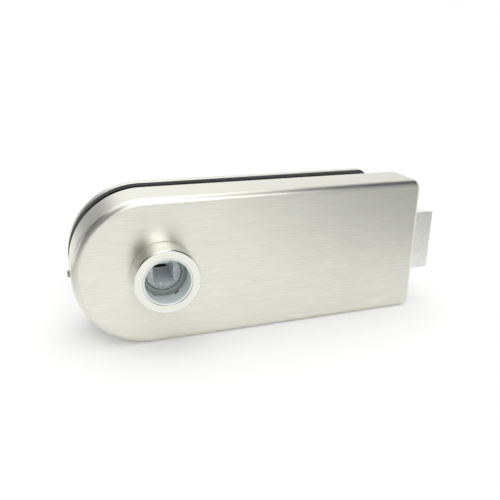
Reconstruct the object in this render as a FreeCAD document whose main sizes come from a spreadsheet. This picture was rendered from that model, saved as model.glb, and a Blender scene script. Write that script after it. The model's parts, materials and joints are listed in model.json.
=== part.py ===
import FreeCAD, Part
import math
import os
import re
import Sketcher

# Glass door latch: two covers clamp the glass, a lever turns the follower, and its horns draw the bolt.
# Origin: the spindle axis at the middle of the glass. +X points to the bolt, +Y to the back, +Z up.
# "Out" is the distance from the middle of the glass towards the front, so a point at out lies at Y = -out.

SIZES = {
    # covers
    "case_height": 62,
    "case_length": 154,
    "spindle_inset": 35.3,
    "corner_radius": 4.5,
    "least_corner": 0.5,
    "glass_gap": 8,
    "edge_round": 3,
    "back_edge_round": 1.5,
    "back_short": 13.7,
    "side_wall": 1.5,
    "front_wall": 1.6,
    "back_wall": 1.2,
    # plates and gaskets
    "plate_gap": 0.3,
    "gasket_thick": 1,
    "plate_thick": 3,
    "cap_thick": 1.4,
    "cap_inset": 2.4,
    "cap_room": 1.4,
    "leg_width": 8,
    "leg_tenon": 4,
    "leg_from_round": 6,
    "leg_from_guide": 9.5,
    "bolt_room": 0.9,
    "hub_hole_gap": 3,
    # handle collars and their liners
    "collar_diameter": 26.6,
    "collar_length": 10.3,
    "collar_bore": 19.6,
    "collar_chamfer": 0.4,
    "collar_ledge": 0.2,
    "spigot_diameter": 18,
    "neck_bore": 18.1,
    "liner_length": 8.1,
    "liner_inset": 0.2,
    "liner_slot_width": 2,
    "liner_slot_depth": 1.2,
    "liner_slots": 6,
    # fits between pieces that stay together, and between those that turn or slide
    "seat_fit": 0.02,
    "loose_fit": 0.05,
    "running_fit": 0.05,
    "slide_gap": 0.3,
    "cut_past": 1,
    # follower
    "spindle_square": 8.1,
    "hub_radius": 9,
    "journal_radius": 7,
    "journal_length": 2,
    "boss_radius": 7.1,
    "boss_sunk": 0.1,
    "ledge_gap": 0.3,
    "end_play": 0.2,
    "lever_angle": 40,
    "horn_thick": 4.5,
    "horn_start": 3,
    "horn_tip_width": 4.6,
    "horn_tip_extra": 0.4,
    "horn_gap": 0.1,
    "horn_sunk": 0.45,
    "horn_root_angle": 35,
    # carriage and its guides
    "carriage_thick": 3,
    "prong_to_leg": 5.7,
    "hub_gap": 0.6,
    "fork_bridge": 6,
    "fork_taper": 6,
    "fork_round": 3,
    "lug_width": 6,
    "lug_below": 2.5,
    "bar_half": 6,
    "bar_short": 19,
    "slot_wall": 3,
    "slot_play": 0.5,
    "tab_thick": 2,
    "return_wire": 0.7,
    "rail_length": 18,
    "rail_width": 3.5,
    "rail_lip": 0.6,
    "rail_overlap": 1.4,
    # bolt, tail and the springs between them and the carriage
    "throw": 11.5,
    "bolt_height": 28,
    "bolt_thick": 10,
    "bolt_tip": 2.5,
    "bolt_inside": 15.7,
    "bolt_fit": 0.1,
    "bolt_round": 0.9,
    "tail_half": 5,
    "tail_thick": 3,
    "tail_length": 33,
    "tail_socket": 9,
    "tail_neck": 3,
    "tail_neck_length": 4,
    "tail_round": 2,
    "drive_pin_inset": 5,
    "drive_pin_radius": 3,
    "drive_pin_fit": 0.1,
    "bolt_spring_z": 9.6,
    "bolt_spring_radius": 3,
    "bolt_spring_wire": 0.6,
    "spring_pocket_radius": 3.4,
    "spring_pocket_depth": 10,
    "stub_half": 1.5,
    "stub_length": 6,
    "carrier_thick": 2,
    "carrier_inset": 2,
    "carrier_half": 13.6,
    # bolt guide
    "guide_length": 9.4,
    "guide_half": 21,
    "window_gap": 0.3,
    "guide_foot_z": 17.8,
    "guide_foot_half": 2,
    # clamp screws and the nylon sleeves round them
    "clamp_first": -20,
    "clamp_second": 64,
    "clamp_from_end": 10,
    "clamp_screw": 2.45,
    "clamp_hole_gap": 0.3,
    "clamp_head": 4.9,
    "clamp_head_thick": 2,
    "clamp_short": 0.5,
    "sleeve_radius": 6.5,
    "sleeve_fit": 0.1,
    # set screw at the round end, and the clips that hold the back cover
    "cover_screw_radius": 1.5,
    "cover_screw_length": 6,
    "cover_screw_out": 10.3,
    "cover_screw_proud": 1,
    "cover_screw_socket": 1.5,
    "cover_screw_hex": 0.87,
    "lug_block": 8,
    "lug_block_length": 4,
    "clip_length": 18,
    "clip_thick": 0.5,
    "clip_bow": 1.2,
    "clip_x": 40,
}

# Small round pieces and holes that repeat inside the case are drawn with this many sides.
SIDES = 12
# How far the flats of such a shape lie from its middle, for corners at 1.
FLAT = math.cos(math.pi / SIDES)
# Bevels that make up a cover's rounded edge.
EDGE_BEVELS = 2
# Points along a horn's flank.
FLANK_STEPS = 6
# Two lengths that differ by less than this are the same.
SAME = 1e-6
# The least that a cut has to take away, in cubic millimetres.
LEAST_CUT = 0.05

doc = FreeCAD.newDocument("glass_door_latch")
sheet = doc.addObject("Spreadsheet::Sheet", "Sizes")
for row, (name, size) in enumerate(SIZES.items(), 1):
    sheet.set(f"A{row}", name)
    sheet.set(f"B{row}", str(size))
    sheet.setAlias(f"B{row}", name)
doc.recompute()

# Places along out: the covers are as deep as what they hold
RIM = "(glass_gap / 2)"
PLATE_BACK = f"({RIM} + gasket_thick)"
PLATE_TOP = f"({PLATE_BACK} + plate_thick)"
BACK_FACE = f"({PLATE_TOP} + back_wall)"
CARRIAGE_BACK = f"({PLATE_TOP} + slide_gap)"
CARRIAGE_TOP = f"({CARRIAGE_BACK} + carriage_thick)"
LIP_BACK = f"({CARRIAGE_TOP} + slide_gap)"
LIP_TOP = f"({LIP_BACK} + rail_lip)"
TAIL_BACK = f"({LIP_TOP} + slide_gap)"
TAIL_TOP = f"({TAIL_BACK} + tail_thick)"
HORN_TOP = f"({TAIL_BACK} + horn_thick)"
BOLT_BACK = CARRIAGE_BACK
BOLT_TOP = f"({BOLT_BACK} + bolt_thick)"
CAP_BACK = f"({BOLT_TOP} + bolt_room)"
CAP_TOP = f"({CAP_BACK} + cap_thick)"
INNER_FACE = f"({CAP_TOP} + cap_room)"
FACE = f"({INNER_FACE} + front_wall)"
SPRING_OUT = f"({BOLT_BACK} + bolt_thick / 2)"
RETURN_OUT = f"({CARRIAGE_BACK} + carriage_thick / 2)"
RETURN_RADIUS = f"({TAIL_BACK} - slide_gap - {RETURN_OUT})"
CHANNEL_BACK = f"({RETURN_OUT} - {RETURN_RADIUS} - slide_gap)"
COVER_SCREW_OUT = f"({FACE} - cover_screw_out)"

# Places along X
LEFT = "(0 - spindle_inset)"
RIGHT = "(case_length - spindle_inset)"
BACK_RIGHT = f"({RIGHT} - back_short)"
ROUND_X = "(case_height / 2 - spindle_inset)"
FORK_LEFT = "(0 - horn_start - horn_gap - lug_width)"
FORK_END = "(hub_radius + hub_gap + throw)"
SPRING_SLOT = f"({FORK_END} + fork_bridge)"
TAB_X = f"({SPRING_SLOT} + slot_play)"
BAR_START = f"({SPRING_SLOT} + fork_taper)"
BOLT_REAR = f"({RIGHT} - bolt_inside)"
BOLT_END = f"({RIGHT} + throw)"
TAIL_REAR = f"({BOLT_REAR} - tail_length)"
PIN_X = f"({TAIL_REAR} + drive_pin_inset)"
PIN_SLOT = f"({PIN_X} - drive_pin_radius - throw - slot_play)"
SPRING_SLOT_END = f"({PIN_SLOT} - slot_wall)"
NECK_END = f"({BOLT_REAR} + tail_neck_length)"
POCKET_END = f"({BOLT_REAR} + spring_pocket_depth)"
BAR_END = f"({BOLT_REAR} - bar_short)"
CARRIER_X = f"({BAR_END} - carrier_inset - carrier_thick)"
GUIDE_X = f"({RIGHT} - side_wall - plate_gap - guide_length)"
GUIDE_MIDDLE = f"({GUIDE_X} + guide_length / 2)"
LUG_X = f"({LEFT} + side_wall + plate_gap * 2)"

# Places along Z and radii
# The flank of a horn is an involute of the base circle, so the carriage moves in step with the lever.
BASE_RADIUS = f"(throw * 180 / ({math.pi} * lever_angle))"
PRONG_INNER = "(hub_radius + hub_gap)"
LEG_OUTER = "(case_height / 2 - side_wall - cap_inset)"
LEG_INNER = f"({LEG_OUTER} - cap_thick)"
PRONG_OUTER = f"({LEG_INNER} - prong_to_leg)"
SLOT_HALF = "(drive_pin_radius + drive_pin_fit)"
PLATE_INSET = "(side_wall + plate_gap)"
CLIP_Z = "(case_height / 2 - side_wall - clip_bow - clip_thick)"
LEG_LEFT = f"({ROUND_X} + leg_from_round)"
LEG_RIGHT = f"({GUIDE_X} - leg_from_guide)"
LEGS = [LEG_LEFT, f"(({LEG_LEFT} + {LEG_RIGHT}) / 2)", LEG_RIGHT]
CLAMPS = ["clamp_first", "clamp_second", f"({BACK_RIGHT} - clamp_from_end)"]


def linked(text):
    """Returns a size's text with every cell's name led by the name of the sheet."""
    return re.sub(r"[a-z_]+", lambda word: f"Sizes.{word[0]}" if word[0] in SIZES else word[0], text)


def value(text):
    """Returns the number that a size's text comes to."""
    return float(sheet.evalExpression(linked(text)))


def bind(thing, prop, text):
    """Ties a property to a size's text."""
    thing.setExpression(prop, linked(text))


def at_place(thing, x="0", out="0", z="0"):
    """Ties where a solid stands to sizes."""
    bind(thing, "Placement.Base.x", x)
    bind(thing, "Placement.Base.y", f"0 - ({out})")
    bind(thing, "Placement.Base.z", z)


def new_body(name, x="0", out="0", z="0"):
    """Starts a piece that grows by sketches."""
    body = doc.addObject("PartDesign::Body", name)
    body.Label = name
    at_place(body, x, out, z)
    return body


def new_sketch(body, plane_role, offset="0"):
    """Lays a sketch on one of the body's own planes, moved along that plane's normal."""
    plane = next(plane for plane in body.Origin.OriginFeatures if plane.Role == plane_role)
    sketch = body.newObject("Sketcher::SketchObject", f"{body.Name}_sketch")
    sketch.AttachmentSupport = [(plane, "")]
    sketch.MapMode = "FlatFace"
    bind(sketch, "AttachmentOffset.Base.z", offset)
    return sketch


def face_sketch(body, out):
    """Lays a sketch parallel to the glass: its axes are X and Z and its normal points out."""
    return new_sketch(body, "XZ_Plane", out)


def side_sketch(body, x):
    """Lays a sketch square to X: its axes are Y and Z and its normal is +X."""
    return new_sketch(body, "YZ_Plane", x)


def hold(sketch, kind, parts, text):
    """Adds a constraint whose value is a size."""
    number = sketch.addConstraint(Sketcher.Constraint(kind, *parts, value(text)))
    bind(sketch, f"Constraints[{number}]", text)


def hold_point(sketch, part, end, across, up):
    """Fixes a point of a sketch by its two distances from the sketch's origin."""
    hold(sketch, "DistanceX", (-1, 1, part, end), across)
    hold(sketch, "DistanceY", (-1, 1, part, end), up)


def polygon(sketch, corners):
    """Draws a closed outline of straight sides."""
    first = sketch.GeometryCount
    points = [FreeCAD.Vector(value(across), value(up), 0) for across, up in corners]
    for start, end in zip(points, points[1:] + points[:1]):
        sketch.addGeometry(Part.LineSegment(start, end), False)
    for number, (across, up) in enumerate(corners):
        before = first + (number - 1) % len(corners)
        sketch.addConstraint(Sketcher.Constraint("Coincident", first + number, 1, before, 2))
        hold_point(sketch, first + number, 1, across, up)


def rectangle(sketch, across, up):
    """Draws a rectangle between two values each way."""
    polygon(sketch, [(across[0], up[0]), (across[1], up[0]), (across[1], up[1]), (across[0], up[1])])


def circle(sketch, across, up, radius):
    """Draws a circle."""
    number = sketch.GeometryCount
    centre = FreeCAD.Vector(value(across), value(up), 0)
    sketch.addGeometry(Part.Circle(centre, FreeCAD.Vector(0, 0, 1), value(radius)), False)
    hold_point(sketch, number, 3, across, up)
    hold(sketch, "Radius", (number,), radius)


def few_sided(sketch, across, up, radius):
    """Draws a small hole or shank with few sides and its corners at a radius."""
    turns = [2 * math.pi * corner / SIDES for corner in range(SIDES)]
    polygon(sketch, [
        (f"{across} + {radius} * {math.cos(turn):.9f}", f"{up} + {radius} * {math.sin(turn):.9f}")
        for turn in turns
    ])


def case_outline(sketch, inset, right_end=RIGHT):
    """Draws the covers' outline, drawn in by an inset: half-round at the left, two corners at the right."""
    first = sketch.GeometryCount
    radius = f"(case_height / 2 - {inset})"
    corner = f"max(corner_radius - {inset}; least_corner)"
    end = f"({right_end} - {inset})"
    centre_x, big, small, end_x = (value(text) for text in (ROUND_X, radius, corner, end))
    up = FreeCAD.Vector(0, 0, 1)

    def arc(x, z, size, start, stop):
        shape = Part.Circle(FreeCAD.Vector(x, z, 0), up, size)
        return Part.ArcOfCircle(shape, math.radians(start), math.radians(stop))

    def line(x1, z1, x2, z2):
        return Part.LineSegment(FreeCAD.Vector(x1, z1, 0), FreeCAD.Vector(x2, z2, 0))

    sides = [
        arc(centre_x, 0, big, 90, 270),
        line(centre_x, -big, end_x - small, -big),
        arc(end_x - small, small - big, small, 270, 360),
        line(end_x, small - big, end_x, big - small),
        arc(end_x - small, big - small, small, 0, 90),
        line(end_x - small, big, centre_x, big),
    ]
    sketch.addGeometry(sides, False)
    for number in range(len(sides)):
        following = first + (number + 1) % len(sides)
        sketch.addConstraint(Sketcher.Constraint("Tangent", first + number, 2, following, 1))
    hold_point(sketch, first, 3, ROUND_X, "0")
    hold(sketch, "Radius", (first,), radius)
    hold(sketch, "Radius", (first + 2,), corner)
    hold(sketch, "Radius", (first + 4,), corner)
    sketch.addConstraint(Sketcher.Constraint("Horizontal", first + 1))
    sketch.addConstraint(Sketcher.Constraint("Vertical", first + 3))
    hold(sketch, "DistanceX", (-1, 1, first + 3, 1), end)


def pad(body, sketch, length):
    """Raises a sketch along its normal."""
    raised = body.newObject("PartDesign::Pad", f"{body.Name}_pad")
    raised.Profile = sketch
    bind(raised, "Length", length)
    body.Tip = raised
    return raised


def pocket(body, sketch, length, along_normal=True):
    """Cuts a sketch out of the piece and makes sure that the cut took something away."""
    doc.recompute()
    before = body.Shape.Volume
    cut = body.newObject("PartDesign::Pocket", f"{body.Name}_pocket")
    cut.Profile = sketch
    cut.Reversed = along_normal
    bind(cut, "Length", length)
    body.Tip = cut
    doc.recompute()
    if before - body.Shape.Volume < LEAST_CUT:
        raise ValueError(f"a pocket of {body.Label} cuts nothing")
    return cut


def dress(body, kind, prop, size, wanted):
    """Rounds or bevels the edges that a test picks."""
    doc.recompute()
    base = body.Tip
    names = [f"Edge{number}" for number, edge in enumerate(base.Shape.Edges, 1) if wanted(edge)]
    if not names:
        raise ValueError(f"{body.Label} has no edge to dress")
    dressed = body.newObject(f"PartDesign::{kind}", f"{body.Name}_{kind.lower()}")
    dressed.Base = (base, names)
    bind(dressed, prop, size)
    body.Tip = dressed
    return dressed


def turned(name, corners, axis="V_Axis", x="0", out="0", z="0"):
    """Makes a round piece: an outline in the XY plane turned about the sketch's own axis."""
    body = new_body(name, x, out, z)
    sketch = new_sketch(body, "XY_Plane")
    polygon(sketch, corners)
    solid = body.newObject("PartDesign::Revolution", f"{name}_turn")
    solid.Profile = sketch
    solid.ReferenceAxis = (sketch, [axis])
    solid.Angle = 360
    body.Tip = solid
    return body


def turned_out(name, corners, x="0", z="0"):
    """Makes a round piece about an axis through the glass, from corners of radius and out."""
    return turned(name, [(radius, f"0 - ({out})") for radius, out in corners], "V_Axis", x, "0", z)


def tube_along_x(name, start, end, outer, inner, out, z):
    """Makes a straight tube of few sides along X."""
    body = new_body(name, "0", out, z)
    sketch = side_sketch(body, start)
    for radius in (outer, inner):
        few_sided(sketch, "0", "0", radius)
    pad(body, sketch, f"{end} - ({start})")
    return body


def few_sided_piece(name, x, steps):
    """Makes a stepped piece of few sides square to the glass, from each step's start, end and radius."""
    body = new_body(name, x)
    for start, end, radius in steps:
        sketch = face_sketch(body, start)
        few_sided(sketch, "0", "0", radius)
        pad(body, sketch, f"{end} - ({start})")
    return body


def cut_circles(body, start, length, spots, radius, along_normal=True):
    """Cuts round holes square to the glass, from a plane at out, at each spot of X and Z."""
    sketch = face_sketch(body, start)
    for x, z in spots:
        circle(sketch, x, z, radius)
    pocket(body, sketch, length, along_normal)


def cut_few_sided(body, start, length, spots, radius):
    """Cuts holes of few sides square to the glass, from a plane at out, at each spot of X and Z."""
    sketch = face_sketch(body, start)
    for x, z in spots:
        few_sided(sketch, x, z, radius)
    pocket(body, sketch, length)


def cut_block(body, start, length, x, z):
    """Cuts a rectangle square to the glass, outward from a plane at out."""
    sketch = face_sketch(body, start)
    rectangle(sketch, x, z)
    pocket(body, sketch, length)


def add_block(body, start, length, x, z):
    """Raises a rectangle outward from a plane at out."""
    sketch = face_sketch(body, start)
    rectangle(sketch, x, z)
    pad(body, sketch, length)


def both(text):
    """Returns a size's range from minus to plus."""
    return f"0 - ({text})", text


def about(middle, half):
    """Returns the range of a half width about a middle."""
    return f"{middle} - ({half})", f"{middle} + {half}"


def on_side(side, low, high):
    """Returns a range of Z above the spindle axis, or the same range below it."""
    return (low, high) if side == 1 else (f"0 - ({high})", f"0 - ({low})")


def rectangles(sketch, middles, half, low, high):
    """Draws rectangles about some middles along X, each above and below the spindle axis."""
    for middle in middles:
        for side in (1, -1):
            rectangle(sketch, about(middle, half), on_side(side, low, high))


def sheet_piece(name, start, length, inset, right_end=RIGHT):
    """Makes a flat piece with the covers' outline."""
    body = new_body(name)
    sketch = face_sketch(body, start)
    case_outline(sketch, inset, right_end)
    pad(body, sketch, length)
    return body


def rounded_edge(cover, start, way, size, right_end=RIGHT):
    """Closes a cover's face: outlines that draw in along a quarter round, joined by straight bevels."""
    outlines = []
    for bevel in range(EDGE_BEVELS + 1):
        turn = math.pi / 2 * bevel / EDGE_BEVELS
        sketch = face_sketch(cover, f"{start} + {way} * {size} * {math.sin(turn):.9f}")
        case_outline(sketch, f"{size} * {1 - math.cos(turn):.9f}", right_end)
        outlines.append(sketch)
    doc.recompute()
    closed = cover.newObject("PartDesign::AdditiveLoft", f"{cover.Name}_edge")
    closed.Profile = outlines[0]
    closed.Sections = outlines[1:]
    closed.Ruled = True
    cover.Tip = closed


def front_cover():
    """The deep cover, with the bolt's window at the right and the set screw's hole at the left."""
    cover = sheet_piece("front_cover", RIM, f"{FACE} - edge_round - {RIM}", "0")
    rounded_edge(cover, f"{FACE} - edge_round", 1, "edge_round")
    sketch = face_sketch(cover, RIM)
    case_outline(sketch, "side_wall")
    pocket(cover, sketch, f"{INNER_FACE} - {RIM}")
    cut_circles(cover, INNER_FACE, "front_wall", [("0", "0")], "spigot_diameter / 2 + seat_fit")
    sketch = side_sketch(cover, f"{RIGHT} - side_wall")
    window = (f"0 - {BOLT_TOP} - window_gap", f"0 - {PLATE_TOP}")
    rectangle(sketch, window, both("bolt_height / 2 + window_gap"))
    pocket(cover, sketch, "side_wall")
    sketch = side_sketch(cover, LEFT)
    circle(sketch, f"0 - {COVER_SCREW_OUT}", "0", "cover_screw_radius + loose_fit")
    pocket(cover, sketch, "side_wall * 2")
    return cover


def back_cover():
    """The shallow cover, which ends before the front one so that it clears the door frame."""
    edge = f"back_edge_round - {BACK_FACE}"
    cover = sheet_piece("back_cover", edge, f"{BACK_FACE} - back_edge_round - {RIM}", "0", BACK_RIGHT)
    rounded_edge(cover, edge, -1, "back_edge_round", BACK_RIGHT)
    sketch = face_sketch(cover, f"0 - {PLATE_TOP}")
    case_outline(sketch, "side_wall", BACK_RIGHT)
    pocket(cover, sketch, f"{PLATE_TOP} - {RIM}")
    cut_circles(cover, f"0 - {BACK_FACE}", "back_wall", [("0", "0")], "spigot_diameter / 2 + seat_fit")
    return cover


def base_plate():
    """The plate that carries the mechanism, slotted for the cap plate's legs and the guide's feet."""
    plate = sheet_piece("base_plate", PLATE_BACK, "plate_thick", PLATE_INSET)
    tab = (TAB_X, f"{TAB_X} + tab_thick")
    add_block(plate, PLATE_TOP, f"{LIP_BACK} - {PLATE_TOP}", tab, both(f"{SLOT_HALF} - slide_gap"))
    lug = (LUG_X, f"{LUG_X} + lug_block_length")
    lug_top = f"{COVER_SCREW_OUT} + cover_screw_radius * 2"
    add_block(plate, PLATE_TOP, f"{lug_top} - {PLATE_TOP}", lug, both("lug_block / 2"))
    channel = (f"{TAB_X} + tab_thick", SPRING_SLOT_END)
    depth = f"{PLATE_TOP} - {CHANNEL_BACK}"
    cut_block(plate, CHANNEL_BACK, depth, channel, both(f"{RETURN_RADIUS} + slide_gap"))
    cut_circles(plate, PLATE_BACK, "plate_thick", [("0", "0")], "journal_radius + running_fit")
    clamps = [(x, "0") for x in CLAMPS]
    cut_few_sided(plate, PLATE_BACK, "plate_thick", clamps, "(clamp_screw + loose_fit)")
    sketch = face_sketch(plate, PLATE_BACK)
    slot = (f"{LEG_INNER} - seat_fit", f"{LEG_OUTER} + seat_fit")
    rectangles(sketch, LEGS, "leg_tenon / 2 + seat_fit", *slot)
    feet = about("guide_foot_z", "guide_foot_half + seat_fit")
    rectangles(sketch, [GUIDE_MIDDLE], "guide_foot_half + seat_fit", *feet)
    pocket(plate, sketch, "plate_thick")
    sketch = side_sketch(plate, LUG_X)
    few_sided(sketch, f"0 - {COVER_SCREW_OUT}", "0", f"(cover_screw_radius + loose_fit) / {FLAT}")
    pocket(plate, sketch, "lug_block_length")
    return plate


def counter_plate():
    """The plate behind the glass, with recessed holes for the clamp screws and notches for the clips."""
    plate = sheet_piece("counter_plate", f"0 - {PLATE_TOP}", "plate_thick", PLATE_INSET, BACK_RIGHT)
    back = f"0 - {PLATE_TOP}"
    clamps = [(x, "0") for x in CLAMPS]
    cut_few_sided(plate, back, "plate_thick", clamps, "(clamp_screw + clamp_hole_gap)")
    cut_few_sided(plate, back, "clamp_head_thick", clamps, "(clamp_head + clamp_hole_gap)")
    cut_few_sided(plate, back, "plate_thick", [("0", "0")], f"(boss_radius + ledge_gap) / {FLAT}")
    sketch = face_sketch(plate, back)
    rectangles(sketch, ["clip_x"], "clip_length / 2 + plate_gap", CLIP_Z, "case_height / 2")
    pocket(plate, sketch, "plate_thick")
    return plate


def gasket(name, start, right_end=RIGHT):
    """A rubber sheet between a plate and the glass, cut out round the hub and the clamp screws."""
    sheet_rubber = sheet_piece(name, start, "gasket_thick", PLATE_INSET, right_end)
    cut_few_sided(sheet_rubber, start, "gasket_thick", [("0", "0")], "(journal_radius + hub_hole_gap)")
    clamps = [(x, "0") for x in CLAMPS]
    cut_few_sided(sheet_rubber, start, "gasket_thick", clamps, "(clamp_screw + clamp_hole_gap)")
    return sheet_rubber


def collar(name, base, side, wall):
    """A handle's collar: a spigot pressed into the cover, a ledge in its bore and a bevelled rim."""
    spigot = "(spigot_diameter / 2)"
    rim = "(collar_diameter / 2)"
    bore = "(collar_bore / 2)"
    throat = "(boss_radius + ledge_gap)"
    corners = [
        (throat, f"0 - {wall}"),
        (spigot, f"0 - {wall}"),
        (spigot, "0"),
        (rim, "0"),
        (rim, "collar_length - collar_chamfer"),
        (f"{rim} - collar_chamfer", "collar_length"),
        (bore, "collar_length"),
        (bore, "collar_ledge"),
        (throat, "collar_ledge"),
    ]
    return turned_out(name, [(radius, f"{side} * ({base} + ({along}))") for radius, along in corners])


def liner(name, base, side):
    """A plastic liner that a lever's neck turns in, with slots round its inner end."""
    start = f"{side} * ({base} + collar_length - liner_inset - liner_length)"
    end = f"{side} * ({base} + collar_length - liner_inset)"
    inner = "neck_bore / 2"
    outer = "collar_bore / 2 - seat_fit"
    body = turned_out(name, [(inner, start), (outer, start), (outer, end), (inner, end)])
    sketch = face_sketch(body, start)
    rectangle(sketch, (f"{inner} - cut_past", f"{outer} + cut_past"), both("liner_slot_width / 2"))
    slot = pocket(body, sketch, "liner_slot_depth", side == 1)
    pattern = body.newObject("PartDesign::PolarPattern", f"{name}_slots")
    pattern.Originals = [slot]
    axis = next(axis for axis in body.Origin.OriginFeatures if axis.Role == "Y_Axis")
    pattern.Axis = (axis, [""])
    pattern.Angle = 360
    bind(pattern, "Occurrences", "liner_slots")
    body.Tip = pattern
    return body


def cap_plate():
    """The thin plate over the mechanism, on legs riveted to the base plate. It holds the follower's boss."""
    inset = "(side_wall + cap_inset)"
    plate = sheet_piece("cap_plate", CAP_BACK, "cap_thick", inset, f"({GUIDE_X} - plate_gap + {inset})")
    sketch = face_sketch(plate, PLATE_TOP)
    rectangles(sketch, LEGS, "leg_width / 2", LEG_INNER, LEG_OUTER)
    pad(plate, sketch, f"{CAP_BACK} - {PLATE_TOP}")
    sketch = face_sketch(plate, PLATE_BACK)
    rectangles(sketch, LEGS, "leg_tenon / 2", LEG_INNER, LEG_OUTER)
    pad(plate, sketch, "plate_thick")
    cut_circles(plate, CAP_BACK, "cap_thick", [("0", "0")], "boss_radius + running_fit")
    return plate


def bolt_guide():
    """A nylon block behind the bolt's window, with two feet in the base plate."""
    block = new_body("bolt_guide")
    ends = (GUIDE_X, f"{GUIDE_X} + guide_length")
    add_block(block, PLATE_TOP, f"{CAP_TOP} - {PLATE_TOP}", ends, both("guide_half"))
    way = f"{BOLT_TOP} + bolt_fit - {PLATE_TOP}"
    cut_block(block, PLATE_TOP, way, ends, both("bolt_height / 2 + bolt_fit"))
    sketch = face_sketch(block, PLATE_BACK)
    rectangles(sketch, [GUIDE_MIDDLE], "guide_foot_half", *about("guide_foot_z", "guide_foot_half"))
    pad(block, sketch, "plate_thick")
    return block


def clamps():
    """Screws through the counter plate into the base plate, with nylon sleeves round them in the glass."""
    made = []
    head_seat = f"(clamp_head_thick - {PLATE_TOP})"
    for number, x in enumerate(CLAMPS, 1):
        head = (f"0 - {PLATE_TOP}", head_seat, "clamp_head")
        shank = (head_seat, f"({PLATE_TOP} - clamp_short)", "clamp_screw")
        made.append(few_sided_piece(f"clamp_screw_{number}", x, [head, shank]))
        sleeve = new_body(f"glass_sleeve_{number}", x)
        sketch = face_sketch(sleeve, f"0 - {RIM}")
        few_sided(sketch, "0", "0", "sleeve_radius")
        few_sided(sketch, "0", "0", "(clamp_screw + sleeve_fit)")
        pad(sleeve, sketch, "glass_gap")
        made.append(sleeve)
    return made


def cover_screw():
    """The set screw at the round end, with a hexagon socket, between the cover and the base plate's lug."""
    start = f"({LEFT} - cover_screw_proud)"
    end = f"{start} + cover_screw_length"
    radius = "cover_screw_radius"
    corners = [(start, "0"), (end, "0"), (end, radius), (start, radius)]
    screw = turned("cover_set_screw", corners, "H_Axis", "0", COVER_SCREW_OUT, "0")
    sketch = side_sketch(screw, start)
    turns = [math.pi * corner / 3 for corner in range(6)]
    polygon(sketch, [
        (f"cover_screw_hex * {math.cos(turn):.9f}", f"cover_screw_hex * {math.sin(turn):.9f}")
        for turn in turns
    ])
    pocket(screw, sketch, "cover_screw_socket")
    return screw


def cover_clips():
    """Bowed leaf springs between the counter plate and the back cover's walls."""
    made = []
    flat = "clip_length / 6"
    for number, side in enumerate((1, -1), 1):
        clip = new_body(f"cover_clip_{number}")
        sketch = face_sketch(clip, f"slide_gap - {PLATE_TOP}")
        low = f"{side} * {CLIP_Z}"
        low_outer = f"{side} * ({CLIP_Z} + clip_thick)"
        high = f"{side} * ({CLIP_Z} + clip_bow)"
        high_outer = f"{side} * ({CLIP_Z} + clip_bow + clip_thick)"
        polygon(sketch, [
            ("clip_x - clip_length / 2", low),
            (f"clip_x - {flat}", high),
            (f"clip_x + {flat}", high),
            ("clip_x + clip_length / 2", low),
            ("clip_x + clip_length / 2", low_outer),
            (f"clip_x + {flat}", high_outer),
            (f"clip_x - {flat}", high_outer),
            ("clip_x - clip_length / 2", low_outer),
        ])
        pad(clip, sketch, "plate_thick - slide_gap * 2")
        made.append(clip)
    return made


def horn_shape():
    """The upper horn: an involute flank towards the lug, a round tip and a straight back."""
    base = value(BASE_RADIUS)
    start = value("horn_start")
    reach = value("throw + horn_tip_extra")
    hub = value("hub_radius")

    def flank(rolled):
        turn = rolled / base
        along = start + rolled
        x = base * math.sin(turn) - along * math.cos(turn)
        z = base * math.cos(turn) + along * math.sin(turn)
        return FreeCAD.Vector(x, 0, z)

    def on_circle(radius, angle):
        return FreeCAD.Vector(radius * math.cos(angle), 0, radius * math.sin(angle))

    points = [flank(reach * step / FLANK_STEPS) for step in range(FLANK_STEPS + 1)]
    spline = Part.BSplineCurve()
    spline.interpolate(points)
    tip = points[-1].Length
    tip_start = math.atan2(points[-1].z, points[-1].x)
    tip_end = tip_start - value("horn_tip_width") / tip
    back_root = on_circle(hub - value("horn_sunk"), math.radians(value("horn_root_angle")))
    front_root = FreeCAD.Vector(-start, 0, back_root.z)
    tip_corner = on_circle(tip, tip_end)
    edges = [
        spline.toShape(),
        Part.Arc(points[-1], on_circle(tip, (tip_start + tip_end) / 2), tip_corner).toShape(),
        Part.LineSegment(tip_corner, back_root).toShape(),
        Part.LineSegment(back_root, front_root).toShape(),
        Part.LineSegment(front_root, points[0]).toShape(),
    ]
    face = Part.Face(Part.Wire(edges))
    return face.extrude(FreeCAD.Vector(0, -value("horn_thick"), 0))


def cylinder_out(name, radius, start, end):
    """A solid cylinder about the spindle axis."""
    rod = doc.addObject("Part::Cylinder", name)
    rod.Placement = FreeCAD.Placement(FreeCAD.Vector(), FreeCAD.Rotation(FreeCAD.Vector(1, 0, 0), 90))
    bind(rod, "Radius", radius)
    bind(rod, "Height", f"{end} - ({start})")
    at_place(rod, "0", f"({start})", "0")
    return rod


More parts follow.
